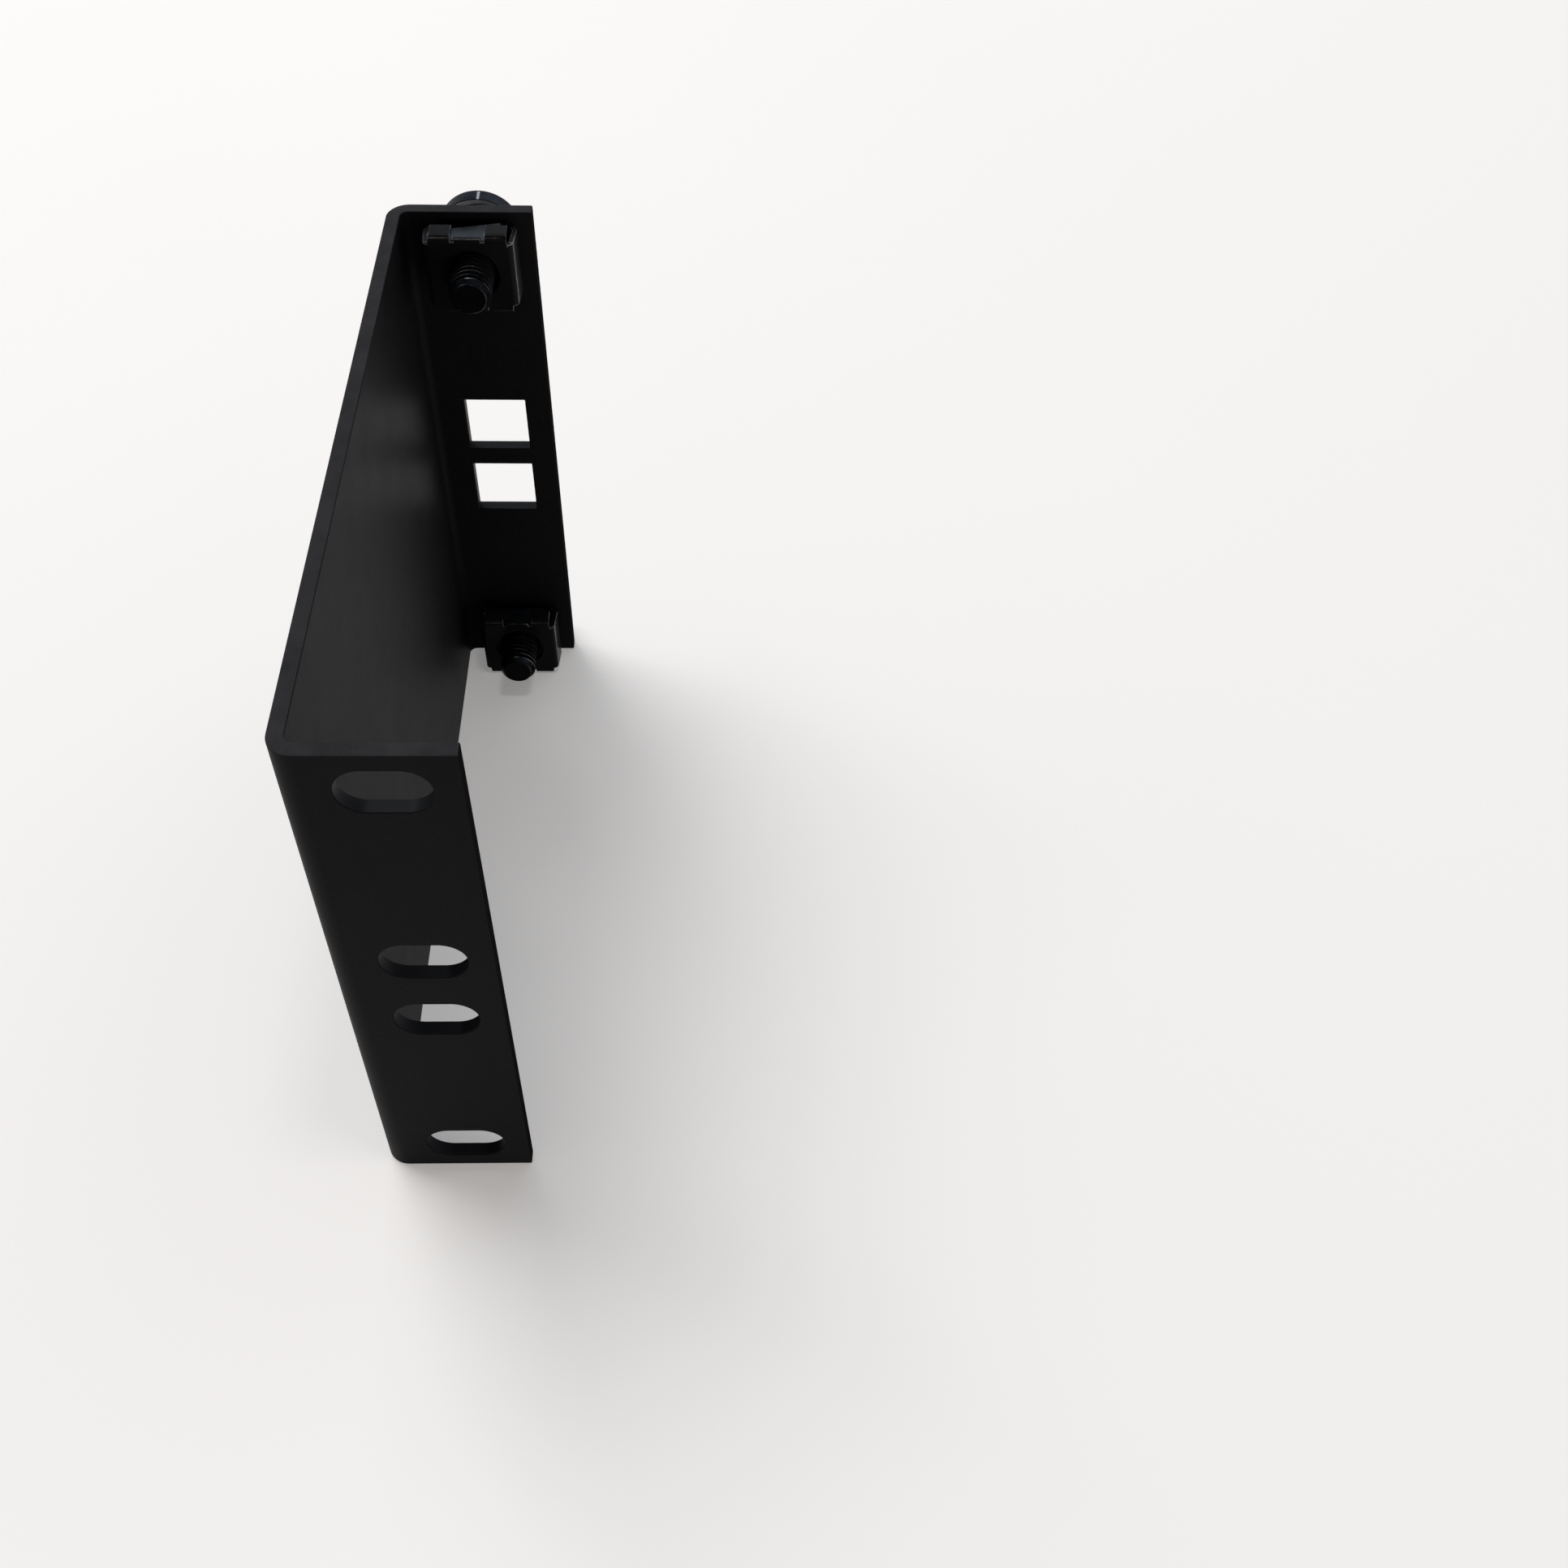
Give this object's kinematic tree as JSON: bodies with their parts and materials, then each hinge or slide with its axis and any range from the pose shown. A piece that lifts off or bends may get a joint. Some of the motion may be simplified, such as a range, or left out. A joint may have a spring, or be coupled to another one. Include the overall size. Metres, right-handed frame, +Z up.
{
  "type": "rack recessing bracket",
  "caption": "Folded steel channel that sets rack equipment back from the rack's rails: slotted flange for the rail, square-holed flange with cage nuts and screws for the equipment.",
  "frame": {"origin": "on the outer face of the slotted flange, on the line of slot centres, at half the bracket's height", "axes": "+X from the web to the free edges of the flanges, +Y from the slotted flange to the square-holed one (from the rail to the equipment), +Z up"},
  "size_m": [0.0206, 0.112, 0.0882],
  "materials": {
    "powder_coat": "satin",
    "cage_steel": "gloss",
    "nut_steel": "satin",
    "washer_nylon": "gloss",
    "screw_steel": "gloss"
  },
  "bodies": {
    "root": {"bracket": "powder_coat", "upper_cage": "cage_steel", "upper_nut": "nut_steel", "upper_washer": "washer_nylon", "upper_screw": "screw_steel", "lower_cage": "cage_steel", "lower_nut": "nut_steel", "lower_washer": "washer_nylon", "lower_screw": "screw_steel"}
  },
  "joints": []
}
